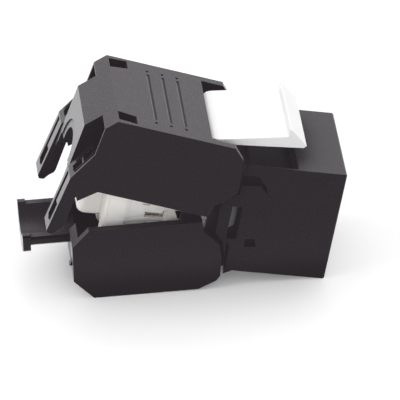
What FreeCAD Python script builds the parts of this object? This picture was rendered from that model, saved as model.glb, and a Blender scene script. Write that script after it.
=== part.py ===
import FreeCAD, Part
import math
import os

# Keystone jack for structured cabling, with two hinged rear covers that press the wires home.
# X runs along the plug axis with the front face at X = 0 and the rear towards -X.
# Y is across the jack, Z is up, and the origin is the middle of the front face.
# The covers are drawn closed and then turned open about their pivots, as they lie at rest.

V = FreeCAD.Vector
AXIS_Y = V(0, 1, 0)

# Housing block that fills the panel opening
HOUSING_WIDTH = 14.5
HOUSING_HEIGHT = 16.0
HOUSING_LENGTH = 13.2
CORNER_ROUND = 0.3
FRONT_WALL = 2.2
RECESS_FRONT = 6.35
RECESS_LENGTH = 6.05
RECESS_WALL = 0.3
RECESS_DEPTH = 2.1
RIB_FRONT = 12.85
RIB_GAP = 0.2
RIB_GAP_DEPTH = 0.9

# Plug port with its stepped keyway for the plug's clip
PORT_WIDTH = 11.8
PORT_TOP = 3.35
PORT_BOTTOM = -3.4
PORT_DEPTH = 10.9
KEYWAY_STEPS = ((6.4, 1.45), (4.0, 2.6))
PORT_LEAD_IN = 0.4

# Pocket at the rear of the housing, which takes the board and the core
POCKET_DEPTH = 1.8
POCKET_ROOF = 3.0
POCKET_FLOOR = 1.4

# Panel hooks under the housing
PANEL_THICKNESS = 1.8
PANEL_LINE = 8.2
HOOK_WIDTH = 10.0
HOOK_LENGTH = 2.0
HOOK_DROP = 1.3
REAR_FLARE_LENGTH = 1.1
REAR_FLARE_DROP = 0.6

# Side details of the housing
SIDE_CUT_DEPTH = 0.6
WINDOW_BEHIND = 0.6
WINDOW_LENGTH = 1.38
WINDOW_DEPTH = 0.9
WINDOW_TOP = 1.7
WINDOW_BOTTOM = -3.2
BARB_LENGTH = 0.95
BARB_HEIGHT = 3.5

# Hinge ears with the pivot holes
PIVOT_BEHIND = 1.8
UPPER_PIVOT = 3.8
LOWER_PIVOT = -4.4
PIN_RADIUS = 0.7
PIN_CLEARANCE = 0.05
EAR_THICKNESS = 0.95
EAR_RADIUS = 1.5
EAR_REAR = 20.0
EAR_WINDOW_FRONT = 16.45
EAR_WINDOW_REAR = 17.4
EAR_WINDOW_EDGES = (-4.6, 1.9)

# Covers
COVER_WIDTH = 15.68
COVER_WALL = 1.0
COVER_RISE = 2.65
COVER_DROP = 2.55
COVER_GAP = 0.2
SIDE_CLEARANCE = 0.14
UPPER_OPEN_DEG = 8.7
LOWER_OPEN_DEG = 12.0
COVER_REAR = 33.12
COVER_CREASE = 31.87
PLATE_FRONT = 19.2
PART_LINE = -0.1

# Cable tower and fork at the rear of the upper cover
TOWER_GAP = 0.25
TOWER_REAR = 34.9
TOWER_ROOF_END = 7.15
TOWER_BOTTOM = 0.3
ARCH_CENTRE = 0.85
ARCH_JAMB = 2.15
ARCH_RING = 1.05
ARCH_RING_DEPTH = 0.15
GUSSET_FRONT = 31.05
GUSSET_REAR = 33.17
GUSSET_END = -2.08
ARM_WIDTH = 2.99
ARM_FRONT = 33.55
ARM_REAR_TOP = 35.07
ARM_REAR_TIP = 35.5
ARM_TIP = -7.85
ARM_CORNERS = (0.3, 0.45)
ARM_SLOT_SIDES = (0.55, 1.5, 2.3)
ARM_SLOT_TOP = 0.75
ARM_SLOT_STEP = -3.5
ARM_SLOT_END = -6.35
PAD_LENGTH = 0.8
PAD_WIDTH = 0.95
PAD_END = -1.2
TOOTH_LENGTH = 0.5
TOOTH_WIDTH = 0.65
TOOTH_END = -2.0
REAR_BAY_RIM = 0.35
REAR_BAY_ROOF = 0.12
REAR_BAY_FLOOR = 4.8
LEDGE_TOP = 5.1
LEDGE_BOTTOM = 0.95
LEDGE_RIM = 0.35
LEDGE_SLOT = 0.35
LEDGE_GAP = 2.15
LEDGE_POCKET_DEPTH = 0.45
LEDGE_POCKETS = ((0.06, 0.42), (0.48, 0.84))

# Finger grips and vents in the upper cover's plate
GRIP_COUNT = 3
GRIP_PITCH = 2.0
GRIP_FIRST = 22.6
GRIP_MARGIN = 2.54
GRIP_WIDTH = 0.45
GRIP_DEPTH = 0.18
GRIP_PIT_RADIUS = 0.2
GRIP_PIT_MARGIN = 1.84
VENT_LENGTH = 2.45
VENT_SETBACK = 0.17
VENT_REAR_MARGINS = (2.64, 0.69)
VENT_FRONT_MARGINS = (2.24, 0.49)

# Lower cover
LOWER_REAR = 33.25
REAR_WALL = 0.85
CHAMFER_LENGTH = 2.2
CHAMFER_DROP = 2.35
CABLE_GAP = 6.8
CATCH_PROUD = 0.4
CATCH_WIDTH = 0.75
CATCH_MIDDLE = 1.42
CATCH_TOP = -5.1
CATCH_BOTTOM = -5.95

# Cable trough
TROUGH_END = 39.3
TROUGH_RADIUS = 4.4
TROUGH_LIP = -2.8
TROUGH_SIDE = 0.9
TROUGH_FLOOR = 1.15
TROUGH_RIM = 0.35
TROUGH_RIM_DROP = 0.3
COLLAR_PROUD = 0.25
FOOT_LENGTH = 1.0
FOOT_DROP = 0.9

# White core: contact block and wire manager
CORE_SIDE_GAP = 0.35
CORE_REAR = 26.5
CORE_FIT = 0.15
MANAGER_REAR = 29.7
MANAGER_TAPER = 1.0
POST_FRONT = 26.95
POST_REAR = 29.2
POST_PROUD = 0.15
NOSE_REAR = 32.65
NOSE_WIDTH = 6.4
NOSE_HEIGHT = 8.3
NOSE_ROUND = 1.1
NOSE_EDGE = 0.6
NOSE_CLEARANCE = 0.25

# Side face of the core, seen where the covers part
FACET_DEPTH = 0.2
FACET_REAR_TOP = -2.72
FACET_BREAK = 24.3
FACET_TOP = -1.9
STEP_DEPTH = 0.45
STEP_REAR_TOP = -3.45
STEP_BREAK = 23.75
STEP_TOP = -2.8
SIDE_SLOT_FRONT = 21.9
SIDE_SLOT_REAR = 24.4
SIDE_SLOT_DEPTH = 0.8
SIDE_SLOT_EDGES = (-2.45, -1.55)
SIDE_GROOVE_FRONT = 21.4
SIDE_GROOVE_REAR = 22.1
SIDE_GROOVE_EDGES = (-2.5, -1.0)
SIDE_NOTCH_FRONT = 23.9
SIDE_NOTCH_REAR = 24.9
SIDE_NOTCH_EDGES = (-0.5, -0.3)
FRONT_BAY_FRONT = 18.9
FRONT_BAY_REAR = 20.66
FRONT_BAY_SLANT = 0.73
FRONT_BAY_EDGES = (-2.5, -0.9)

# Circuit board and contacts
BOARD_THICKNESS = 1.2
BOARD_MARGIN = 0.1
CONTACT_COUNT = 8
CONTACT_PITCH = 1.02
CONTACT_WIDTH = 0.4
CONTACT_THICKNESS = 0.25
CONTACT_BEND = 3.3
CONTACT_END = 10.3
CONTACT_END_HEIGHT = 1.3
CARRIER_FIT = 0.05
CARRIER_ABOVE_PORT = 0.4
CARRIER_WIDTH = 10.6

# Slit terminals in the core
TERMINAL_X = (19.8, 23.6)
TERMINAL_Y = 4.35
TERMINAL_THICKNESS = 0.4
TERMINAL_WIDTH = 2.4
TERMINAL_SLIT = 0.35
TERMINAL_BELOW_TOP = 0.7
TERMINAL_STRIP = 0.5
TERMINAL_LEVELS = (1.5, 0.5)
WIRE_SLOT = 1.2
WIRE_SLOT_DEPTH = 3.2

# Latch arm
LATCH_WIDTH = 11.4
LATCH_PIVOT_X = 17.3
LATCH_PIVOT_RISE = 1.75
LATCH_BARREL = 0.75
LATCH_REST_RISE = 3.9
LATCH_TIP = 5.7
LATCH_TIP_RISE = 2.8
LATCH_TIP_THICKNESS = 0.35
CATCH_RIDGE_RISE = 4.95
LATCH_CORNER = 1.3
LEG_THICKNESS = 1.3
LEG_WIDTH = 9.6

# Places worked out from the sizes above
half_width = HOUSING_WIDTH / 2
half_height = HOUSING_HEIGHT / 2
cover_half = COVER_WIDTH / 2
cover_inside = cover_half - COVER_WALL
ear_outer = cover_inside - SIDE_CLEARANCE
ear_inner = ear_outer - EAR_THICKNESS
pivot_x = -(HOUSING_LENGTH + PIVOT_BEHIND)
pocket_front = -(HOUSING_LENGTH - POCKET_DEPTH)
pocket_half = ear_inner
pocket_top = half_height - POCKET_ROOF
pocket_bottom = -half_height + POCKET_FLOOR
board_rear = pocket_front - BOARD_THICKNESS
carrier_bottom = PORT_TOP + CARRIER_ABOVE_PORT
core_half = ear_inner - CORE_SIDE_GAP
core_top = -pocket_bottom
terminal_tip = core_top - TERMINAL_BELOW_TOP
cover_top = half_height + COVER_RISE
cover_floor = -half_height - COVER_DROP
latch_pivot_z = half_height + LATCH_PIVOT_RISE
arm_inner = cover_half - ARM_WIDTH
arm_starts = (-cover_half, arm_inner)
tower_half = arm_inner - TOWER_GAP
arch_radius = tower_half - ARCH_JAMB
window_rear = -HOUSING_LENGTH - WINDOW_BEHIND


def block(x0, x1, y0, y1, z0, z1):
    return Part.makeBox(x1 - x0, y1 - y0, z1 - z0, V(x0, y0, z0))


def across(x0, x1, half, z0, z1):
    """A block that runs across the jack, the same each side of its middle."""
    return block(x0, x1, -half, half, z0, z1)


def side_outline(points, y0, y1):
    """A side outline in X and Z, drawn out across the jack."""
    corners = [V(x, y0, z) for x, z in points]
    face = Part.Face(Part.makePolygon(corners + corners[:1]))
    return face.extrude(V(0, y1 - y0, 0))


def end_outline(points, x0, x1):
    """An end outline in Y and Z, drawn out along the jack."""
    corners = [V(x0, y, z) for y, z in points]
    face = Part.Face(Part.makePolygon(corners + corners[:1]))
    return face.extrude(V(x1 - x0, 0, 0))


def plan_outline(points, z0, z1):
    """A plan outline in X and Y, drawn upwards."""
    corners = [V(x, y, z0) for x, y in points]
    face = Part.Face(Part.makePolygon(corners + corners[:1]))
    return face.extrude(V(0, 0, z1 - z0))


def rod(radius, x, z, y0, y1):
    return Part.makeCylinder(radius, y1 - y0, V(x, y0, z), AXIS_Y)


def mirrored(shape):
    return shape.mirror(V(0, 0, 0), AXIS_Y)


def both_sides(shape):
    return [shape, mirrored(shape)]


def joined(shapes):
    return shapes[0].fuse(shapes[1:]).removeSplitter()


def round_edges(shape, radius, wanted):
    """Rounds the straight edges whose two ends both pass the given test."""
    edges = [e for e in shape.Edges if len(e.Vertexes) == 2 and all(wanted(v.Point) for v in e.Vertexes)]
    return shape.makeFillet(radius, edges)


def turned(shape, z, degrees):
    """Turns a cover about its pivot, with positive degrees lifting its rear."""
    moved = shape.copy()
    moved.rotate(V(pivot_x, 0, z), AXIS_Y, degrees)
    return moved


def plug_port():
    half = PORT_WIDTH / 2
    rear = -PORT_DEPTH
    cuts = [across(rear, 1, half, PORT_BOTTOM, PORT_TOP)]
    for width, drop in KEYWAY_STEPS:
        cuts.append(across(rear, 1, width / 2, PORT_BOTTOM - drop, PORT_BOTTOM + 1))
    lead = PORT_LEAD_IN
    high = PORT_TOP + lead
    low = PORT_TOP - 1
    mouth = [(-lead, PORT_TOP), (0, high), (1, high), (1, low), (-lead, low)]
    cuts.append(side_outline(mouth, -half, half))
    return joined(cuts)


def rear_pocket():
    pocket = across(-HOUSING_LENGTH - 1, pocket_front, pocket_half, pocket_bottom, pocket_top)
    carrier_bay = across(pocket_front - 1, -FRONT_WALL, CARRIER_WIDTH / 2, PORT_TOP - 1, pocket_top)
    return joined([pocket, carrier_bay])


def top_recess():
    """The shallow recess in the top, and the slot that parts a thin rib from its rear wall."""
    half = half_width - RECESS_WALL
    rear = -RECESS_FRONT - RECESS_LENGTH
    recess = across(rear, -RECESS_FRONT, half, half_height - RECESS_DEPTH, half_height + 1)
    gap = across(-RIB_FRONT - RIB_GAP, -RIB_FRONT, half, half_height - RIB_GAP_DEPTH, half_height + 1)
    return [recess, gap]


def panel_hooks():
    half = HOOK_WIDTH / 2
    base = -half_height
    low = base - HOOK_DROP
    line = -PANEL_LINE
    front = [
        (line, base + 1),
        (line, low),
        (line + HOOK_LENGTH * 0.6, low),
        (line + HOOK_LENGTH, base),
        (line + HOOK_LENGTH, base + 1),
    ]
    rear = line - PANEL_THICKNESS
    behind = across(rear - HOOK_LENGTH, rear, half, low, base + 1)
    flare = [
        (-HOUSING_LENGTH, base + 1),
        (-HOUSING_LENGTH, base - REAR_FLARE_DROP),
        (-HOUSING_LENGTH + REAR_FLARE_LENGTH, base),
        (-HOUSING_LENGTH + REAR_FLARE_LENGTH, base + 1),
    ]
    return [side_outline(front, -half, half), behind, side_outline(flare, -half_width, half_width)]


def hinge_ear():
    """The inner plate with both pivot holes and a window, which runs back between the cover walls."""
    root = -HOUSING_LENGTH + 1
    high = UPPER_PIVOT + EAR_RADIUS
    low = -half_height + 0.2
    outline = [
        (root, high),
        (pivot_x, high),
        (-EAR_REAR + 1.0, high - 2.0),
        (-EAR_REAR, -0.9),
        (-EAR_REAR + 0.4, -2.9),
        (pivot_x - 1.2, LOWER_PIVOT - EAR_RADIUS),
        (pivot_x + 0.6, low),
        (root, low),
    ]
    ear = side_outline(outline, ear_inner, ear_outer)
    outer = ear_outer + 1
    cuts = [block(-EAR_WINDOW_REAR, -EAR_WINDOW_FRONT, ear_inner - 1, outer, *EAR_WINDOW_EDGES)]
    for z in (LOWER_PIVOT, UPPER_PIVOT):
        cuts.append(rod(PIN_RADIUS + PIN_CLEARANCE, pivot_x, z, ear_inner - 1, outer))
    return ear.cut(cuts)


def side_strap():
    """The outer plate that fills the notch between the two covers' front ends."""
    x = pivot_x
    top = UPPER_PIVOT - 0.2
    low = LOWER_PIVOT
    outline = [
        (-HOUSING_LENGTH + 0.5, top),
        (x + 1.25, top),
        (x + 0.5, top - 0.95),
        (x - 0.25, top - 1.75),
        (x - 0.35, top - 2.2),
        (x - 0.2, low + 1.8),
        (x + 0.8, low + 0.6),
        (x + 1.05, low),
        (x + 1.5, low - 1.6),
        (x + 1.7, -half_height),
        (-HOUSING_LENGTH + 0.5, -half_height),
    ]
    return side_outline(outline, ear_outer - 0.2, half_width)


def side_cuts():
    """The arched slit, the lower groove and the small hole in one side face."""
    rear = -HOUSING_LENGTH
    y0 = half_width - SIDE_CUT_DEPTH
    y1 = half_width + 1
    slit = [
        (rear - 0.3, 6.45),
        (rear + 1.8, 6.65),
        (rear + 3.1, 5.2),
        (rear + 3.55, 4.0),
        (rear + 2.85, 4.6),
        (rear + 2.3, 5.15),
        (rear - 0.3, 4.95),
    ]
    hole = [(rear + 1.9, -3.0), (rear + 3.0, -2.9), (rear + 3.5, -4.1), (rear + 1.9, -4.3)]
    groove_end = -half_height + 0.4
    groove = [
        (rear - 0.45, LOWER_PIVOT + 0.7),
        (rear + 0.1, LOWER_PIVOT),
        (rear + 0.1, groove_end),
        (rear - 0.1, groove_end),
    ]
    return [side_outline(points, y0, y1) for points in (slit, hole, groove)]


def side_window():
    """The window in one side face, open at its rear end for the core's barb."""
    rear = window_rear
    outer = half_width + 1
    bay = block(rear, rear + WINDOW_LENGTH, half_width - WINDOW_DEPTH, outer, WINDOW_BOTTOM, WINDOW_TOP)
    way = block(rear, rear + BARB_LENGTH, ear_inner - 1, outer, WINDOW_TOP - BARB_HEIGHT, WINDOW_TOP)
    return [bay, way]


def housing():
    body = across(-HOUSING_LENGTH, 0, half_width, -half_height, half_height)
    body = round_edges(body, CORNER_ROUND, lambda p: p.x > -0.01)
    added = panel_hooks()
    for piece in (hinge_ear(), side_strap()):
        added += both_sides(piece)
    body = joined([body] + added)
    cuts = [plug_port(), rear_pocket()] + top_recess()
    for cut in side_window() + side_cuts():
        cuts += both_sides(cut)
    return body.cut(cuts).removeSplitter()


def contact_carrier():
    """The plate over the port, with a comb that keeps the spring contacts apart."""
    half = CARRIER_WIDTH / 2 - CARRIER_FIT
    rear = pocket_front
    plate = across(rear, -FRONT_WALL, half, carrier_bottom, pocket_top - CARRIER_FIT)
    teeth = []
    tooth_width = CONTACT_PITCH - CONTACT_WIDTH - 0.1
    for n in range(CONTACT_COUNT - 1):
        y = (n + 1 - CONTACT_COUNT / 2) * CONTACT_PITCH
        y0 = y - tooth_width / 2
        teeth.append(block(rear, -FRONT_WALL, y0, y0 + tooth_width, PORT_TOP, carrier_bottom))
    return joined([plate] + teeth)


def contact(y):
    """A spring contact: along the carrier, round a bend and back into the port."""
    top = carrier_bottom
    t = CONTACT_THICKNESS
    bend = -CONTACT_BEND
    end = -CONTACT_END
    outline = [
        (pocket_front, top),
        (bend - 0.2, top),
        (bend, top - 0.15),
        (bend - 0.05, top - 0.75),
        (end, CONTACT_END_HEIGHT),
        (end, CONTACT_END_HEIGHT + t),
        (bend - 0.35, top - 0.6),
        (bend - 0.3, top - t),
        (pocket_front, top - t),
    ]
    return side_outline(outline, y - CONTACT_WIDTH / 2, y + CONTACT_WIDTH / 2)


def circuit_board():
    half = pocket_half - BOARD_MARGIN
    return across(board_rear, pocket_front, half, pocket_bottom + BOARD_MARGIN, pocket_top - BOARD_MARGIN)


def terminal(x, side, up, level):
    """A slit terminal: a forked blade on a strip that runs forward to the board."""
    y0 = side * TERMINAL_Y - TERMINAL_THICKNESS / 2
    y1 = y0 + TERMINAL_THICKNESS
    half = TERMINAL_WIDTH / 2
    slit = TERMINAL_SLIT / 2
    root = level + TERMINAL_STRIP
    tip = terminal_tip
    outline = [
        (board_rear, level),
        (-x - half, level),
        (-x - half, tip - 0.6),
        (-x - half + 0.4, tip),
        (-x - slit, tip - 0.7),
        (-x - slit, root + 1.2),
        (-x + slit, root + 1.2),
        (-x + slit, tip - 0.7),
        (-x + half - 0.4, tip),
        (-x + half, tip - 0.6),
        (-x + half, root),
        (board_rear, root),
    ]
    return side_outline([(px, up * pz) for px, pz in outline], y0, y1)


def terminal_slot(side, up):
    """The slot in the core for one side's terminals, open to the board and to the wires."""
    margin = 0.05
    y0 = side * TERMINAL_Y - TERMINAL_THICKNESS / 2 - margin
    y1 = y0 + TERMINAL_THICKNESS + 2 * margin
    rear = -TERMINAL_X[1] - TERMINAL_WIDTH / 2 - margin
    z0, z1 = sorted((up * (TERMINAL_LEVELS[1] - margin), up * (core_top + 1)))
    return block(rear, board_rear, y0, y1, z0, z1)


def side_details():
    """The facet, step, slots and bay in one side face of the core, low down."""
    outer = core_half + 1
    low = -core_top - 1
    front = -FRONT_BAY_FRONT
    facet = [
        (-POST_FRONT, FACET_REAR_TOP),
        (-FACET_BREAK, FACET_TOP),
        (-SIDE_GROOVE_REAR, FACET_TOP),
        (-SIDE_GROOVE_FRONT, SIDE_GROOVE_EDGES[0]),
        (front, SIDE_GROOVE_EDGES[0]),
        (front, low),
        (-POST_FRONT, low),
    ]
    step = [
        (-POST_FRONT, STEP_REAR_TOP),
        (-STEP_BREAK, STEP_TOP),
        (front, STEP_TOP),
        (front, low),
        (-POST_FRONT, low),
    ]
    bay = [
        (-FRONT_BAY_REAR, FRONT_BAY_EDGES[1]),
        (-FRONT_BAY_REAR + FRONT_BAY_SLANT, FRONT_BAY_EDGES[0]),
        (front, FRONT_BAY_EDGES[0]),
        (front, FRONT_BAY_EDGES[1]),
    ]
    cuts = [
        side_outline(facet, core_half - FACET_DEPTH, outer),
        side_outline(step, core_half - STEP_DEPTH, outer),
        side_outline(bay, TERMINAL_Y + TERMINAL_THICKNESS / 2, outer),
    ]
    slot = core_half - SIDE_SLOT_DEPTH
    shallow = core_half - SIDE_SLOT_DEPTH / 2
    cuts.append(block(-SIDE_SLOT_REAR, -SIDE_SLOT_FRONT, slot, outer, *SIDE_SLOT_EDGES))
    cuts.append(block(-SIDE_GROOVE_REAR, -SIDE_GROOVE_FRONT, shallow, outer, *SIDE_GROOVE_EDGES))
    cuts.append(block(-SIDE_NOTCH_REAR, -SIDE_NOTCH_FRONT, shallow, outer, *SIDE_NOTCH_EDGES))
    return cuts


def core_barb():
    """The barb on one side of the core that snaps into the housing's window."""
    rear = window_rear + 0.03
    front = rear + BARB_LENGTH - 0.06
    root = core_half - 0.2
    outer = half_width - 0.3
    plan = [(rear, root), (rear, outer), (front, outer - 0.8), (front, root)]
    return plan_outline(plan, WINDOW_TOP - BARB_HEIGHT + 0.05, WINDOW_TOP - 0.05)


def core_block():
    """The white block behind the board, with wire slots on its top and bottom."""
    shoulder = -HOUSING_LENGTH - 0.3
    neck_half = pocket_half - CORE_FIT
    neck = across(shoulder, board_rear, neck_half, pocket_bottom + CORE_FIT, pocket_top - CORE_FIT)
    body = across(-CORE_REAR, shoulder, core_half, -core_top, core_top)
    leg_front = -LATCH_PIVOT_X + LEG_THICKNESS / 2
    leg = across(leg_front - LEG_THICKNESS, leg_front, LEG_WIDTH / 2, core_top - 1, latch_pivot_z - 0.3)
    core = joined([neck, body, leg] + both_sides(core_barb()))
    saddle = rod(LATCH_BARREL + PIN_CLEARANCE, -LATCH_PIVOT_X, latch_pivot_z, -LEG_WIDTH, LEG_WIDTH)
    cuts = [saddle]
    for up in (-1, 1):
        for side in (-1, 1):
            cuts.append(terminal_slot(side, up))
        for x in TERMINAL_X:
            z0, z1 = sorted((up * (core_top - WIRE_SLOT_DEPTH), up * (core_top + 1)))
            cuts.append(across(-x - WIRE_SLOT / 2, -x + WIRE_SLOT / 2, core_half + 1, z0, z1))
    for cut in side_details():
        cuts += both_sides(cut)
    return core.cut(cuts).removeSplitter()


def rounded_nose():
    """The end that parts the pairs, round in plan and with softened edges."""
    half = NOSE_WIDTH / 2
    top = NOSE_HEIGHT / 2
    nose = across(-NOSE_REAR, -MANAGER_REAR + 0.5, half, -top, top)
    upright = [e for e in nose.Edges if all(v.Point.x < -NOSE_REAR + 0.01 for v in e.Vertexes)]
    upright = [e for e in upright if abs(e.Vertexes[0].Point.z - e.Vertexes[1].Point.z) > top]
    nose = nose.makeFillet(NOSE_ROUND, upright)
    level = [e for e in nose.Edges if all(abs(abs(v.Point.z) - top) < 0.01 for v in e.Vertexes)]
    level = [e for e in level if e.Vertexes[0].Point.z * e.Vertexes[1].Point.z > 0]
    level = [e for e in level if min(v.Point.x for v in e.Vertexes) < -MANAGER_REAR + 0.4]
    return nose.makeFillet(NOSE_EDGE, level)


def wire_manager():
    """The rear half of the core: a post that divides the pairs, and a rounded nose."""
    rear = -MANAGER_REAR
    taper = MANAGER_TAPER
    outline = [
        (-CORE_REAR, core_top),
        (rear + taper, core_top),
        (rear, core_top - taper),
        (rear, -core_top + taper),
        (rear + taper, -core_top),
        (-CORE_REAR, -core_top),
    ]
    body = side_outline(outline, -core_half, core_half)
    body = round_edges(body, 0.3, lambda p: p.x < rear + 0.01)
    post_end = core_top - taper
    post = block(-POST_REAR, -POST_FRONT, core_half - 1, core_half + POST_PROUD, -post_end, post_end)
    shape = joined([body, rounded_nose()] + both_sides(post))
    cuts = []
    for up in (-1, 1):
        z0, z1 = sorted((up * NOSE_HEIGHT / 2, up * (core_top + 1)))
        for side in (-1, 1):
            y = side * core_half / 2
            cuts.append(block(rear - 1, -CORE_REAR + 1, y - 1.2, y + 1.2, z0, z1))
    for cut in side_details():
        cuts += both_sides(cut)
    return shape.cut(cuts).removeSplitter()


def latch_arm():
    """The sprung arm on top, whose ridge catches behind the panel's edge."""
    barrel_top = latch_pivot_z + LATCH_BARREL
    ridge = half_height + CATCH_RIDGE_RISE
    tip = half_height + LATCH_TIP_RISE
    outline = [
        (-LATCH_PIVOT_X, barrel_top),
        (-PANEL_LINE, half_height + LATCH_REST_RISE),
        (-PANEL_LINE, ridge),
        (-PANEL_LINE + 0.15, ridge),
        (-LATCH_TIP, tip),
        (-LATCH_TIP - 0.35, tip - LATCH_TIP_THICKNESS),
        (-LATCH_PIVOT_X + 0.9, barrel_top - 0.6),
        (-LATCH_PIVOT_X, barrel_top - 0.7),
    ]
    half = LATCH_WIDTH / 2
    arm = side_outline(outline, -half, half)
    barrel = rod(LATCH_BARREL, -LATCH_PIVOT_X, latch_pivot_z, -half, half)
    shape = joined([arm, barrel])
    rear = -LATCH_PIVOT_X - LATCH_BARREL
    for side in (-1, 1):
        shape = shape.cut(latch_corner(rear, side * half, side))
    return shape


def latch_corner(x, y, side):
    """What a rounded rear corner takes off the arm's square end."""
    r = LATCH_CORNER
    y0, y1 = sorted((y, y - side * r))
    z0 = latch_pivot_z - 2
    square = block(x - 1, x + r, min(y0, y), max(y1, y), z0, z0 + 4)
    return square.cut(Part.makeCylinder(r, 6, V(x + r, y - side * r, z0 - 1), V(0, 0, 1)))


def roof_height(back):
    """The height of the sloping roof at a distance behind the front face."""
    slope = (cover_top - TOWER_ROOF_END) / (TOWER_REAR - COVER_CREASE)
    return cover_top - (back - COVER_CREASE) * slope


def upper_side():
    """The closed upper cover's side outline, without its tower and arms."""
    x = pivot_x
    z = UPPER_PIVOT
    return [
        (-COVER_CREASE, cover_top),
        (-COVER_REAR, roof_height(COVER_REAR)),
        (-COVER_REAR, PART_LINE + 1.9),
        (-GUSSET_FRONT, PART_LINE),
        (x - 1.2, PART_LINE),
        (x - 0.95, z - 1.85),
        (x - 0.16, z - 1.4),
        (x + 0.63, z - 0.4),
        (x + 1.29, z + 0.7),
        (x + 0.96, z + 2.9),
        (x + 0.43, z + 5.3),
        (x - 1.14, cover_top),
    ]


def upper_hollow():
    """What the upper cover leaves free for the core and the wires."""
    roof = cover_top - COVER_WALL
    rear = COVER_REAR - COVER_WALL
    crease = COVER_CREASE - 0.4 * COVER_WALL
    low = PART_LINE - 1
    under_roof = roof_height(rear) - 1.4 * COVER_WALL
    wide = [(-crease, roof), (-rear, under_roof), (-rear, low), (0, low), (0, roof)]
    high = cover_top + 1
    plate_cut = [(-PLATE_FRONT, roof - 1), (-PLATE_FRONT, high), (0, high), (0, roof - 1)]
    tower_rear = TOWER_REAR - COVER_WALL
    tower_inside = tower_half - COVER_WALL
    tower_roof = roof_height(tower_rear) - 1.4 * COVER_WALL
    tower = [
        (-rear + 1, under_roof),
        (-rear, under_roof),
        (-tower_rear, tower_roof),
        (-tower_rear, low),
        (-rear + 1, low),
    ]
    return [
        side_outline(wide, -cover_inside, cover_inside),
        side_outline(plate_cut, -cover_inside, cover_inside),
        side_outline(tower, -tower_inside, tower_inside),
    ]


def cable_tower():
    """The narrow stem at the rear that carries the arch over the cable."""
    outline = [
        (-COVER_REAR + 1, roof_height(COVER_REAR - 1)),
        (-TOWER_REAR, TOWER_ROOF_END),
        (-TOWER_REAR, TOWER_BOTTOM),
        (-COVER_REAR + 1, TOWER_BOTTOM),
    ]
    return side_outline(outline, -tower_half, tower_half)


def arch(radius, x0, x1):
    """A round-headed opening through the tower, straight below its centre."""
    z = ARCH_CENTRE
    head = Part.makeCylinder(radius, x1 - x0, V(x0, 0, z), V(1, 0, 0))
    return joined([head, across(x0, x1, radius, -4, z)])


def cable_arch():
    """The opening that the cable leaves through, inside a shallow ring."""
    start = -TOWER_REAR - 1
    opening = arch(arch_radius, start, -COVER_REAR + COVER_WALL + 2)
    ring = arch(arch_radius + ARCH_RING, start, -TOWER_REAR + ARCH_RING_DEPTH)
    return joined([opening, ring])


def lower_corner(y, side, radius):
    """What rounding takes off one lower corner of an arm, along the jack."""
    middle = y - side * radius
    y0, y1 = sorted((middle, y + side))
    z = ARM_TIP + radius
    square = block(-ARM_REAR_TIP - 1, -ARM_FRONT + 1, y0, y1, ARM_TIP - 1, z)
    return square.cut(Part.makeCylinder(radius, 5, V(-ARM_REAR_TIP - 2, middle, z), V(1, 0, 0)))


def fork_arm(y0):
    """One arm of the fork that straddles the trough and snaps over a catch."""
    y1 = y0 + ARM_WIDTH
    notch = GUSSET_END + 0.5
    side = [
        (-COVER_REAR, LEDGE_TOP),
        (-ARM_REAR_TOP, LEDGE_BOTTOM),
        (-ARM_REAR_TIP, ARM_TIP + 0.5),
        (-ARM_REAR_TIP + 0.35, ARM_TIP),
        (-ARM_REAR_TIP + 0.9, ARM_TIP + 0.2),
        (-ARM_FRONT - 0.65, ARM_TIP + 0.9),
        (-ARM_FRONT - 0.1, ARM_TIP + 1.5),
        (-ARM_FRONT, ARM_TIP + 1.9),
        (-ARM_FRONT, notch),
        (-GUSSET_REAR, notch),
        (-GUSSET_REAR, GUSSET_END),
        (-GUSSET_FRONT, PART_LINE),
        (-COVER_REAR + 0.5, PART_LINE + 1.6),
        (-COVER_REAR + 0.5, LEDGE_TOP),
    ]
    near, middle, far = [y0 + width for width in ARM_SLOT_SIDES]
    slot = [
        (middle, ARM_SLOT_TOP),
        (far, ARM_SLOT_TOP),
        (far, ARM_SLOT_END + 0.3),
        ((near + far) / 2, ARM_SLOT_END),
        (near, ARM_SLOT_END + 0.3),
        (near, ARM_SLOT_STEP),
        (middle, ARM_SLOT_STEP),
    ]
    cuts = [
        end_outline(slot, -ARM_REAR_TIP - 1, -ARM_FRONT + 0.05),
        lower_corner(y0, -1, ARM_CORNERS[0]),
        lower_corner(y1, 1, ARM_CORNERS[1]),
    ]
    return side_outline(side, y0, y1).cut(cuts)


def inner_pad():
    """The pad beside the arch on one arm's inner face, with a small tooth under it."""
    y1 = arm_inner + 0.05
    rear = -TOWER_REAR
    pad = block(rear, rear + PAD_LENGTH, arm_inner - PAD_WIDTH, y1, PAD_END, TOWER_BOTTOM + 0.3)
    tooth = block(rear, rear + TOOTH_LENGTH, arm_inner - TOOTH_WIDTH, y1, TOOTH_END, PAD_END + 0.1)
    return joined([pad, tooth])


def rear_bay():
    """The opening in the rear wall between the tower and one side wall's thin rim."""
    rear = -COVER_REAR
    high = roof_height(COVER_REAR) - REAR_BAY_ROOF
    outline = [
        (rear - 0.1, high),
        (rear + COVER_WALL + 0.2, high),
        (rear + COVER_WALL + 0.2, REAR_BAY_FLOOR),
        (rear - 0.1, REAR_BAY_FLOOR),
    ]
    return side_outline(outline, tower_half, cover_half - REAR_BAY_RIM)


def ledge_point(share, depth):
    """A point at a share of the way down the ledge's sloping face, and a depth under it."""
    run = ARM_REAR_TOP - COVER_REAR
    drop = LEDGE_TOP - LEDGE_BOTTOM
    length = math.hypot(run, drop)
    x = -COVER_REAR - run * share + depth * drop / length
    z = LEDGE_TOP - drop * share - depth * run / length
    return x, z


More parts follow.
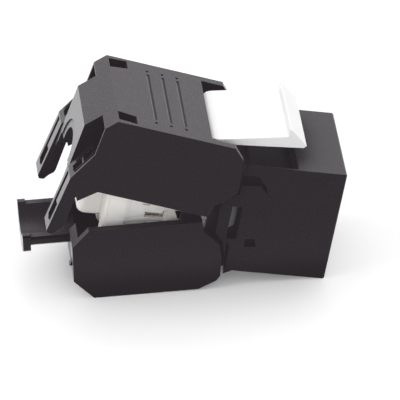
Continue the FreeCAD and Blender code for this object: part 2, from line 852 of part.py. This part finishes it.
def ledge_cuts():
    """The slot behind the rim, the gap beside the tower and the pockets of one ledge."""
    slot_y = cover_half - LEDGE_RIM
    gap_y = cover_half - LEDGE_GAP
    high = LEDGE_TOP + 1
    slot = block(-ARM_REAR_TOP + 0.4, -COVER_REAR, slot_y - LEDGE_SLOT, slot_y, LEDGE_BOTTOM + 0.4, high)
    gap = block(-ARM_REAR_TOP + 0.6, -COVER_REAR, gap_y - LEDGE_SLOT, gap_y, ARM_SLOT_TOP - 0.1, high)
    cuts = [slot, gap]
    for start, end in LEDGE_POCKETS:
        corners = [(start, -1), (end, -1), (end, LEDGE_POCKET_DEPTH), (start, LEDGE_POCKET_DEPTH)]
        outline = [ledge_point(share, depth) for share, depth in corners]
        cuts.append(side_outline(outline, gap_y + 0.05, slot_y - LEDGE_SLOT - 0.05))
    return cuts


def grips():
    """The finger grips across the plate, each a vee with a small pit off its two ends."""
    cuts = []
    top = cover_top
    low = top - GRIP_DEPTH
    for n in range(GRIP_COUNT):
        x = -(GRIP_FIRST + n * GRIP_PITCH)
        rear = x - GRIP_WIDTH / 2
        front = x + GRIP_WIDTH / 2
        half = cover_half - GRIP_MARGIN
        vee = [(rear, top), (front - 0.1, low), (front, top), (front, top + 1), (rear, top + 1)]
        cuts.append(side_outline(vee, -half, half))
        for side in (-1, 1):
            foot = V(x, side * (cover_half - GRIP_PIT_MARGIN), top - COVER_WALL * 0.7)
            cuts.append(Part.makeCylinder(GRIP_PIT_RADIUS, 1.5, foot))
    return cuts


def rear_vent():
    """One opening beside the crease, a little narrower at its front."""
    rear = -COVER_CREASE + VENT_SETBACK
    front = rear + VENT_LENGTH
    plan = [(rear, cover_half - margin) for margin in VENT_REAR_MARGINS]
    plan += [(front, cover_half - margin) for margin in reversed(VENT_FRONT_MARGINS)]
    return plan_outline(plan, cover_top - COVER_WALL - 0.3, cover_top + 1)


def cover_pin(z):
    """A pivot pin on the inside of one cover wall."""
    return rod(PIN_RADIUS, pivot_x, z, ear_inner + 0.1, cover_inside + 0.1)


def upper_cover():
    shell = side_outline(upper_side(), -cover_half, cover_half)
    shell = joined([shell, cable_tower()])
    shell = shell.cut(upper_hollow())
    pieces = [fork_arm(y) for y in arm_starts]
    pieces += both_sides(inner_pad()) + both_sides(cover_pin(UPPER_PIVOT))
    shell = joined([shell] + pieces)
    cuts = [cable_arch()] + grips() + both_sides(rear_vent())
    for cut in ledge_cuts() + [rear_bay()]:
        cuts += both_sides(cut)
    return shell.cut(cuts).removeSplitter()


def lower_side():
    """The closed lower cover's side outline, without its trough."""
    x = pivot_x
    z = LOWER_PIVOT
    top = PART_LINE - COVER_GAP
    return [
        (x - 1.53, top),
        (-LOWER_REAR + CHAMFER_LENGTH, top),
        (-LOWER_REAR, top - CHAMFER_DROP),
        (-LOWER_REAR, cover_floor + 2.75),
        (-LOWER_REAR + 2.5, cover_floor),
        (x - 2.35, cover_floor),
        (x - 0.05, z - 5.1),
        (x + 0.49, z - 4.4),
        (x + 0.76, z - 1.7),
        (x + 0.56, z + 0.4),
        (x - 1.37, z + 2.5),
    ]


def lower_hollow():
    """What the lower cover leaves free for the core and the wires."""
    floor = cover_floor + COVER_WALL
    rear = LOWER_REAR - REAR_WALL
    high = PART_LINE + 1
    outline = [
        (0, high),
        (-rear, high),
        (-rear, floor + 2.3),
        (-rear + 2.1, floor),
        (pivot_x - 2.2, floor),
        (pivot_x - 2.2, floor - 2),
        (0, floor - 2),
    ]
    return side_outline(outline, -cover_inside, cover_inside)


def trough_section(lip, extra):
    """The trough's end outline: stepped lips, straight outer sides and a round belly."""
    r = TROUGH_RADIUS
    x = -LOWER_REAR + 0.5
    half = tower_half
    inner = math.sqrt(r * r - lip * lip)
    low = TROUGH_LIP - TROUGH_SIDE - extra
    lip_side = [
        (inner, lip),
        (half - TROUGH_RIM, lip),
        (half - TROUGH_RIM, lip - TROUGH_RIM_DROP),
        (half, lip - TROUGH_RIM_DROP),
        (half, low),
    ]
    right = Part.makePolygon([V(x, y, z) for y, z in lip_side])
    left = Part.makePolygon([V(x, -y, z) for y, z in reversed(lip_side)])
    belly = Part.Arc(V(x, half, low), V(x, 0, -r - TROUGH_FLOOR - extra), V(x, -half, low)).toShape()
    bed = Part.Arc(V(x, -inner, lip), V(x, 0, -r), V(x, inner, lip)).toShape()
    return Part.Face(Part.Wire(right.Edges + [belly] + left.Edges + [bed]))


def cable_trough():
    """The half-round channel that the cable lies in, with a collar and foot at its end."""
    length = TROUGH_END - LOWER_REAR + 0.5
    channel = trough_section(TROUGH_LIP, 0).extrude(V(-length, 0, 0))
    foot = trough_section(TROUGH_LIP + COLLAR_PROUD, FOOT_DROP).extrude(V(-FOOT_LENGTH, 0, 0))
    foot.translate(V(FOOT_LENGTH - length, 0, 0))
    return joined([channel, foot])


def cable_gap():
    """The opening in the lower rear wall, round at its bottom like the trough."""
    x0 = -LOWER_REAR - 1
    depth = REAR_WALL + 2
    half = CABLE_GAP / 2
    tunnel = Part.makeCylinder(TROUGH_RADIUS, depth, V(x0, 0, 0), V(1, 0, 0))
    window = block(x0, x0 + depth, -half, half, -TROUGH_RADIUS - 1, PART_LINE + 1)
    return tunnel.common(window)


def nose_relief():
    """What the rear wall gives up inside, so that the closed cover clears the nose."""
    gap = NOSE_CLEARANCE
    half = NOSE_WIDTH / 2 + gap
    floor = -NOSE_HEIGHT / 2 - gap
    return across(-NOSE_REAR - gap, -NOSE_REAR + 2, half, floor, PART_LINE + 1)


def catch(y):
    """A wedge on the rear wall that an arm's slot snaps over."""
    outline = [
        (-LOWER_REAR + 0.2, CATCH_TOP),
        (-LOWER_REAR, CATCH_TOP),
        (-LOWER_REAR - CATCH_PROUD, CATCH_TOP - 0.8),
        (-LOWER_REAR - CATCH_PROUD, CATCH_BOTTOM),
        (-LOWER_REAR + 0.2, CATCH_BOTTOM),
    ]
    return side_outline(outline, y - CATCH_WIDTH / 2, y + CATCH_WIDTH / 2)


def lower_cover():
    shell = side_outline(lower_side(), -cover_half, cover_half).cut(lower_hollow())
    pieces = [cable_trough()] + [catch(y + CATCH_MIDDLE) for y in arm_starts]
    pieces += both_sides(cover_pin(LOWER_PIVOT))
    return joined([shell] + pieces).cut([cable_gap(), nose_relief()]).removeSplitter()


def parts():
    made = {
        "housing": housing(),
        "contact_carrier": contact_carrier(),
        "circuit_board": circuit_board(),
        "core_block": core_block(),
        "wire_manager": wire_manager(),
        "latch_arm": latch_arm(),
        "upper_cover": turned(upper_cover(), UPPER_PIVOT, UPPER_OPEN_DEG),
        "lower_cover": turned(lower_cover(), LOWER_PIVOT, -LOWER_OPEN_DEG),
    }
    for n in range(CONTACT_COUNT):
        y = (n - (CONTACT_COUNT - 1) / 2) * CONTACT_PITCH
        made["contact_%d" % (n + 1)] = contact(y)
    number = 0
    for up in (1, -1):
        for x, level in zip(TERMINAL_X, TERMINAL_LEVELS):
            for side in (-1, 1):
                number += 1
                made["terminal_%d" % number] = terminal(x, side, up, level)
    return made


os.makedirs("parts", exist_ok=True)
for name, shape in parts().items():
    shape.exportStep("parts/%s.step" % name)
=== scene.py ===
import math

import bpy
from mathutils import Matrix, Vector

# The keystone jack lies nose down on a pale floor: its front lower edge and the rear corner of
# its open lower cover touch the floor. The frame is the jack's own, so the floor is what tilts.

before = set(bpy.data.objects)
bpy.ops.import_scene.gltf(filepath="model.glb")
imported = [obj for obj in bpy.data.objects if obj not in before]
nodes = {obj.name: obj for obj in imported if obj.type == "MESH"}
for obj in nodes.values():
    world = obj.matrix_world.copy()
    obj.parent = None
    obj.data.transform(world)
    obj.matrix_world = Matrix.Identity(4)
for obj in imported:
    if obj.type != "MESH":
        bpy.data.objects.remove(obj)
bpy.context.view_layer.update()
MM = 0.001

# Camera, as found from the housing's corners in the picture
CAMERA_AZIMUTH = math.radians(-12.77)
CAMERA_ELEVATION = math.radians(32.24)
CAMERA_DISTANCE = 820.7 * MM
CAMERA_TARGET = Vector((-16.5, 0.0, -2.46)) * MM
CAMERA_LENS = 576.1
CAMERA_LEVEL_TILT = math.radians(10.3)
CAMERA_CLIP = (0.05, 10.0)

# Floor: each reach runs from one place to another, and below it are the strengths at its ends
FLOOR_SIZE = 3.0
FLOOR_COLOUR = 0.92
FLOOR_ROUGHNESS = 0.25
FLOOR_REFLECTION = 0.3
FLOOR_GLOW_REACH = (11.0 * MM, 19.0 * MM)
FLOOR_GLOW = (0.12, 0.45)
FLOOR_MIRRORED_REACH = (-20.0 * MM, 15.0 * MM)
FLOOR_MIRRORED = (0.2, 1.7)
TILT_ROUNDS = 6

# Room, and the soft lights in it: place from the camera's target, width, both in metres, and watts
WORLD_LIGHT = 0.78
WORLD_SEEN = 1.0
WORLD_MIRRORED_REACH = (0.0, 0.75)
WORLD_MIRRORED = (0.25, 1.37)
LIGHTS = {
    "soft_top": ((-0.04, 0.2, 0.5), 0.5, 1.35),
    "soft_left": ((-0.42, 0.0, 0.3), 0.35, 0.85),
    "soft_front": ((-0.1, -0.45, 0.22), 0.35, 0.4),
}

# Moulded plastic
MOTTLE = {"Scale": 260.0, "Detail": 3.0, "Roughness": 0.6}
GRAIN = {"Detail": 2.0, "Roughness": 0.5}
ROUGHNESS_SPREAD = 0.06
EDGE_RADIUS = 0.05 * MM
EDGE_SAMPLES = 6
BUMP_STRENGTH = 0.35
SPECKLE_REACH = (0.3, 0.7)
# Painted shade in hollows: gloss and sheen fall to a small share where the surface is enclosed
HOLLOW_DISTANCE = 6.0 * MM
HOLLOW_SAMPLES = 8
HOLLOW_REACH = (0.65, 1.0)
HOLLOW_SHARE = 0.08

# Black plastic, its colours as linear values
BLACK = (0.006, 0.005, 0.006)
# painted glow: a faint purple emission over all black plastic, lifting even its shaded corners
BLACK_PAINTED_GLOW = (0.0176, 0.0147, 0.0176)
BLACK_REFLECTION = (1.0, 0.93, 1.0)
BLACK_FINISH = {
    "roughness": 0.36, "grain": 6500.0, "depth": 0.014 * MM, "mottle": 0.08, "sparkle": 0.5,
}
BLACK_SHEEN = 0.5
BLACK_SHEEN_ROUGHNESS = 0.3
HOUSING_LEVEL = 0.42
COVER_LEVEL = 0.5

# White plastic, each with the share of light that spreads inside it, and the grey that paints
# shade on the core's barbs
WHITE_CORE = (0.94, 0.915, 0.875)
CORE_SPREAD = 0.3
WHITE_LATCH = (0.76, 0.76, 0.76)
LATCH_SPREAD = 0.08
# painted shade: grey for the white core's barbs, which sit in shade inside the windows
BARB_PAINTED_SHADE = (0.14, 0.138, 0.14)
WHITE_FINISH = {
    "roughness": 0.38, "grain": 6000.0, "depth": 0.003 * MM, "mottle": 0.03, "sparkle": 0.1,
}
WHITE_LEVEL = 0.5
SPREAD_COLOUR = (1.0, 0.85, 0.7)
SPREAD_DISTANCE = 0.8 * MM

# Metal and board
BRUSH = {"Scale": 3500.0, "Detail": 3.0}
BRUSH_SHARES = (0.85, 1.1)
GOLD = (0.83, 0.56, 0.18)
GOLD_ROUGHNESS = 0.25
COPPER = (0.66, 0.47, 0.35)
COPPER_ROUGHNESS = 0.32
BOARD_GREEN = (0.012, 0.07, 0.03)
BOARD_ROUGHNESS = 0.3
WEAVE = {"Scale": 1200.0, "Detail": 4.0}
WEAVE_SHARES = (0.8, 1.2)

# Faces painted apart from the rest of their node: painted shade on the core's barbs and a painted
# glow in the upper cover's grips
BARB_SHARE = 0.85
COVER_TILT = math.radians(8.7)
GRIP_DEPTH = 0.2 * MM
GRIP_SLOPE = 0.95
# painted glow in the grips, stronger than the black plastic's own
GRIP_PAINTED_GLOW = (0.055, 0.05, 0.055)
LEVEL_NORMAL = 0.01


def put(node, **values):
    """Sets a node's properties or, by name, its input sockets."""
    for key, value in values.items():
        if hasattr(node, key):
            setattr(node, key, value)
        else:
            node.inputs[key.replace("_", " ")].default_value = value
    return node


def add(tree, kind, **values):
    return put(tree.nodes.new(kind), **values)


def new_material(name):
    material = bpy.data.materials.new(name)
    material.use_nodes = True
    tree = material.node_tree
    shader = tree.nodes["Principled BSDF"]
    return material, tree, shader


def place_object(name, data):
    item = bpy.data.objects.new(name, data)
    bpy.context.scene.collection.objects.link(item)
    return item


def map_range(tree, value, result, reach=(0.0, 1.0), smooth=False):
    """A value mapped from a reach to a result, in a straight line or smoothly."""
    node = add(
        tree, "ShaderNodeMapRange", interpolation_type="SMOOTHSTEP" if smooth else "LINEAR",
        From_Min=reach[0], From_Max=reach[1], To_Min=result[0], To_Max=result[1],
    )
    tree.links.new(value, node.inputs["Value"])
    return node.outputs["Result"]


def calculate(tree, operation, *values):
    """The result of a math node, each of its values a number or another node's output."""
    node = add(tree, "ShaderNodeMath", operation=operation)
    for socket, value in zip(node.inputs, values):
        if isinstance(value, bpy.types.NodeSocket):
            tree.links.new(value, socket)
        else:
            socket.default_value = value
    return node.outputs["Value"]


def noise(tree, **values):
    """Noise fixed to the object."""
    place = add(tree, "ShaderNodeTexCoord")
    node = add(tree, "ShaderNodeTexNoise", **values)
    tree.links.new(place.outputs["Object"], node.inputs["Vector"])
    return node.outputs["Fac"]


def shaded(tree, colour, value, shares):
    """A colour that noise makes darker and lighter, between two shares of itself."""
    tint = add(tree, "ShaderNodeVectorMath", operation="SCALE")
    tint.inputs[0].default_value = colour
    tree.links.new(map_range(tree, value, shares), tint.inputs["Scale"])
    return tint.outputs["Vector"]


def hollow_painted_shade(tree, full):
    """Painted shade: a strength that is full on an outer face, and a small share of that deep in a
    hollow.
    """
    hollow = add(
        tree, "ShaderNodeAmbientOcclusion", samples=HOLLOW_SAMPLES, Distance=HOLLOW_DISTANCE,
    )
    strengths = (full * HOLLOW_SHARE, full)
    return map_range(tree, hollow.outputs["AO"], strengths, HOLLOW_REACH, smooth=True)


def moulded_plastic(name, colour, level, roughness, grain, depth, mottle, sparkle):
    """Moulded plastic: fine spark-eroded grain, a little mottling and softened edges."""
    material, tree, shader = new_material(name)
    link = tree.links.new
    broad = noise(tree, **MOTTLE)
    fine = noise(tree, Scale=grain, **GRAIN)
    rough = map_range(tree, fine, (roughness - ROUGHNESS_SPREAD, roughness + ROUGHNESS_SPREAD))
    speckle = map_range(tree, fine, (1 - sparkle, 1 + sparkle), SPECKLE_REACH)
    soft_edge = add(tree, "ShaderNodeBevel", samples=EDGE_SAMPLES, Radius=EDGE_RADIUS)
    bump = add(tree, "ShaderNodeBump", Strength=BUMP_STRENGTH, Distance=depth)
    link(fine, bump.inputs["Height"])
    link(soft_edge.outputs["Normal"], bump.inputs["Normal"])
    link(bump.outputs["Normal"], shader.inputs["Normal"])
    link(shaded(tree, colour, broad, (1 - mottle, 1 + mottle)), shader.inputs["Base Color"])
    link(rough, shader.inputs["Roughness"])
    # painted shade: the gloss dims in hollows
    gloss = calculate(tree, "MULTIPLY", speckle, hollow_painted_shade(tree, level))
    link(gloss, shader.inputs["Specular IOR Level"])
    return material, tree, shader


def black_plastic(name, level, painted_glow=BLACK_PAINTED_GLOW):
    """Black plastic with a slight purple painted glow, an emission that lifts even its darkest
    corners.
    """
    material, tree, shader = moulded_plastic(name, BLACK, level, **BLACK_FINISH)
    put(
        shader, Emission_Color=(*painted_glow, 1), Emission_Strength=1.0,
        Specular_Tint=(*BLACK_REFLECTION, 1), Sheen_Roughness=BLACK_SHEEN_ROUGHNESS,
    )
    # painted shade: the sheen dims in hollows
    tree.links.new(hollow_painted_shade(tree, BLACK_SHEEN), shader.inputs["Sheen Weight"])
    return material


def pale_plastic(name, colour, spread):
    """White plastic, or the grey of painted shade, a little see-through where some light spreads
    inside it.
    """
    material, _, shader = moulded_plastic(name, colour, WHITE_LEVEL, **WHITE_FINISH)
    put(
        shader, Subsurface_Weight=spread, Subsurface_Radius=SPREAD_COLOUR,
        Subsurface_Scale=SPREAD_DISTANCE,
    )
    return material


def metal(name, colour, roughness):
    material, tree, shader = new_material(name)
    tint = shaded(tree, colour, noise(tree, **BRUSH), BRUSH_SHARES)
    tree.links.new(tint, shader.inputs["Base Color"])
    put(shader, Metallic=1.0, Roughness=roughness)
    return material


def board_material():
    """Green solder mask with the weave below it showing faintly."""
    material, tree, shader = new_material("solder_mask")
    tint = shaded(tree, BOARD_GREEN, noise(tree, **WEAVE), WEAVE_SHARES)
    tree.links.new(tint, shader.inputs["Base Color"])
    put(shader, Roughness=BOARD_ROUGHNESS)
    return material


def floor_material():
    """White acrylic that keeps the shadow and a faint reflection, and can't be seen from below.

    The camera sees a weak glow in it, stronger left and right of the jack. Reflections see the
    glow alone, dim in front of the jack and bright behind it.
    """
    material, tree, shader = new_material("floor_white")
    link = tree.links.new
    put(
        shader, Base_Color=(FLOOR_COLOUR, FLOOR_COLOUR, FLOOR_COLOUR, 1),
        Roughness=FLOOR_ROUGHNESS, Specular_IOR_Level=FLOOR_REFLECTION,
    )
    rays = add(tree, "ShaderNodeLightPath").outputs
    surface = add(tree, "ShaderNodeNewGeometry").outputs
    split = add(tree, "ShaderNodeSeparateXYZ")
    link(surface["Position"], split.inputs["Vector"])

    aside = calculate(tree, "SUBTRACT", split.outputs["X"], CAMERA_TARGET.x)
    apart = calculate(tree, "ABSOLUTE", aside)
    paler = map_range(tree, apart, FLOOR_GLOW, FLOOR_GLOW_REACH, smooth=True)
    seen = calculate(tree, "MULTIPLY", rays["Is Camera Ray"], paler)
    share = calculate(tree, "MAXIMUM", seen, rays["Is Glossy Ray"])

    behind = split.outputs["Y"]
    mirrored = map_range(tree, behind, FLOOR_MIRRORED, FLOOR_MIRRORED_REACH, smooth=True)
    strength = add(tree, "ShaderNodeMix", A=1.0)
    glow = add(tree, "ShaderNodeEmission")
    link(rays["Is Glossy Ray"], strength.inputs["Factor"])
    link(mirrored, strength.inputs["B"])
    link(strength.outputs["Result"], glow.inputs["Strength"])

    lit = add(tree, "ShaderNodeMixShader")
    link(share, lit.inputs["Fac"])
    link(shader.outputs["BSDF"], lit.inputs[1])
    link(glow.outputs["Emission"], lit.inputs[2])

    clear = add(tree, "ShaderNodeBsdfTransparent")
    shown = add(tree, "ShaderNodeMixShader")
    link(surface["Backfacing"], shown.inputs["Fac"])
    link(lit.outputs["Shader"], shown.inputs[1])
    link(clear.outputs["BSDF"], shown.inputs[2])
    link(shown.outputs["Shader"], tree.nodes["Material Output"].inputs["Surface"])
    return material


def lowest(node, down):
    """The vertex of a node that lies furthest along a direction."""
    return max((v.co for v in nodes[node].data.vertices), key=lambda co: co.dot(down))


def floor_plane():
    """A point and the upward normal of the plane that the jack rests on."""
    tilt = CAMERA_LEVEL_TILT
    for _ in range(TILT_ROUNDS):
        down = Vector((math.sin(tilt), 0, -math.cos(tilt)))
        front = lowest("housing", down)
        rear = lowest("lower_cover", down)
        tilt = math.atan2(front.z - rear.z, front.x - rear.x)
    normal = Vector((-math.sin(tilt), 0, math.cos(tilt)))
    return rear.copy(), normal


def make_floor():
    point, normal = floor_plane()
    half = FLOOR_SIZE / 2
    corners = [(-half, -half, 0), (half, -half, 0), (half, half, 0), (-half, half, 0)]
    mesh = bpy.data.meshes.new("floor")
    mesh.from_pydata(corners, [], [(0, 1, 2, 3)])
    mesh.materials.append(floor_material())
    floor = place_object("floor", mesh)
    turn = normal.to_track_quat("Z", "Y").to_matrix().to_4x4()
    floor.matrix_world = Matrix.Translation(point) @ turn


def make_world():
    """A white room: even for the light it gives, and brighter at the back in reflections."""
    world = bpy.data.worlds.new("studio")
    bpy.context.scene.world = world
    world.use_nodes = True
    tree = world.node_tree
    link = tree.links.new
    rays = add(tree, "ShaderNodeLightPath").outputs
    place = add(tree, "ShaderNodeTexCoord")
    split = add(tree, "ShaderNodeSeparateXYZ")
    link(place.outputs["Generated"], split.inputs["Vector"])
    plain = map_range(tree, rays["Is Camera Ray"], (WORLD_LIGHT, WORLD_SEEN))
    behind = split.outputs["Y"]
    mirrored = map_range(tree, behind, WORLD_MIRRORED, WORLD_MIRRORED_REACH, smooth=True)
    strength = add(tree, "ShaderNodeMix")
    link(rays["Is Glossy Ray"], strength.inputs["Factor"])
    link(plain, strength.inputs["A"])
    link(mirrored, strength.inputs["B"])
    background = put(tree.nodes["Background"], Color=(1, 1, 1, 1))
    link(strength.outputs["Result"], background.inputs["Strength"])


def make_lights():
    """Soft lights that brighten surfaces but don't show in their reflections."""
    for name, (place, size, watts) in LIGHTS.items():
        data = bpy.data.lights.new(name, "AREA")
        data.size = size
        data.energy = watts
        light = place_object(name, data)
        light.location = CAMERA_TARGET + Vector(place)
        light.visible_glossy = False
        light.rotation_mode = "QUATERNION"
        light.rotation_quaternion = (-Vector(place)).to_track_quat("-Z", "Y")


def make_camera():
    """The camera stands level with the floor, and looks at a point inside the jack."""
    back = Vector((
        math.sin(CAMERA_AZIMUTH) * math.cos(CAMERA_ELEVATION),
        -math.cos(CAMERA_AZIMUTH) * math.cos(CAMERA_ELEVATION),
        math.sin(CAMERA_ELEVATION),
    ))
    level = Vector((-math.sin(CAMERA_LEVEL_TILT), 0, math.cos(CAMERA_LEVEL_TILT)))
    right = level.cross(back).normalized()
    up = back.cross(right)
    data = bpy.data.cameras.new("camera")
    data.lens = CAMERA_LENS
    data.clip_start, data.clip_end = CAMERA_CLIP
    camera = place_object("camera", data)
    turn = Matrix((right, up, back)).transposed().to_4x4()
    camera.matrix_world = Matrix.Translation(CAMERA_TARGET + back * CAMERA_DISTANCE) @ turn
    bpy.context.scene.camera = camera


def dress(names, material):
    for name in names:
        slots = nodes[name].data.materials
        slots.clear()
        slots.append(material)


def dress_faces(name, material, chosen):
    """Gives a node's chosen faces a second material."""
    mesh = nodes[name].data
    mesh.materials.append(material)
    for face in mesh.polygons:
        if chosen(face):
            face.material_index = 1


def dress_barbs():
    """The core's white barbs are painted grey, painted shade inside the windows that they catch
    in.
    """
    reach = BARB_SHARE * max(abs(v.co.y) for v in nodes["core_block"].data.vertices)
    # grey painted shade on the barb faces
    grey = pale_plastic("shaded_barb_plastic", BARB_PAINTED_SHADE, 0.0)
    dress_faces("core_block", grey, lambda face: abs(face.center.y) > reach)


def dress_grips():
    """The grips are shallow vees whose sloping faces get a stronger painted glow, so they show
    little darker than the plate that they are cut in.
    """
    up = Vector((math.sin(COVER_TILT), 0, math.cos(COVER_TILT)))
    top = max(up.dot(v.co) for v in nodes["upper_cover"].data.vertices)

    def in_a_grip(face):
        depth = top - up.dot(face.center)
        slopes = up.dot(face.normal) < GRIP_SLOPE and abs(face.normal.y) < LEVEL_NORMAL
        return slopes and 0 < depth < GRIP_DEPTH

    # the grip faces get a stronger painted glow, which lifts the shade in the vees
    dress_faces("upper_cover", black_plastic("grip_painted_glow_plastic", COVER_LEVEL, GRIP_PAINTED_GLOW), in_a_grip)


def dress_nodes():
    contacts = [name for name in nodes if name.startswith("contact_") and name[-1].isdigit()]
    terminals = [name for name in nodes if name.startswith("terminal_")]
    dress(["housing", "contact_carrier"], black_plastic("black_plastic", HOUSING_LEVEL))
    dress(["upper_cover", "lower_cover"], black_plastic("cover_plastic", COVER_LEVEL))
    white = pale_plastic("white_core_plastic", WHITE_CORE, CORE_SPREAD)
    dress(["core_block", "wire_manager"], white)
    dress(["latch_arm"], pale_plastic("white_latch_plastic", WHITE_LATCH, LATCH_SPREAD))
    dress(["circuit_board"], board_material())
    dress(contacts, metal("contact_gold", GOLD, GOLD_ROUGHNESS))
    dress(terminals, metal("terminal_copper", COPPER, COPPER_ROUGHNESS))
    dress_barbs()
    dress_grips()


bpy.context.scene.view_settings.view_transform = "Standard"
make_camera()
make_floor()
make_world()
make_lights()
dress_nodes()
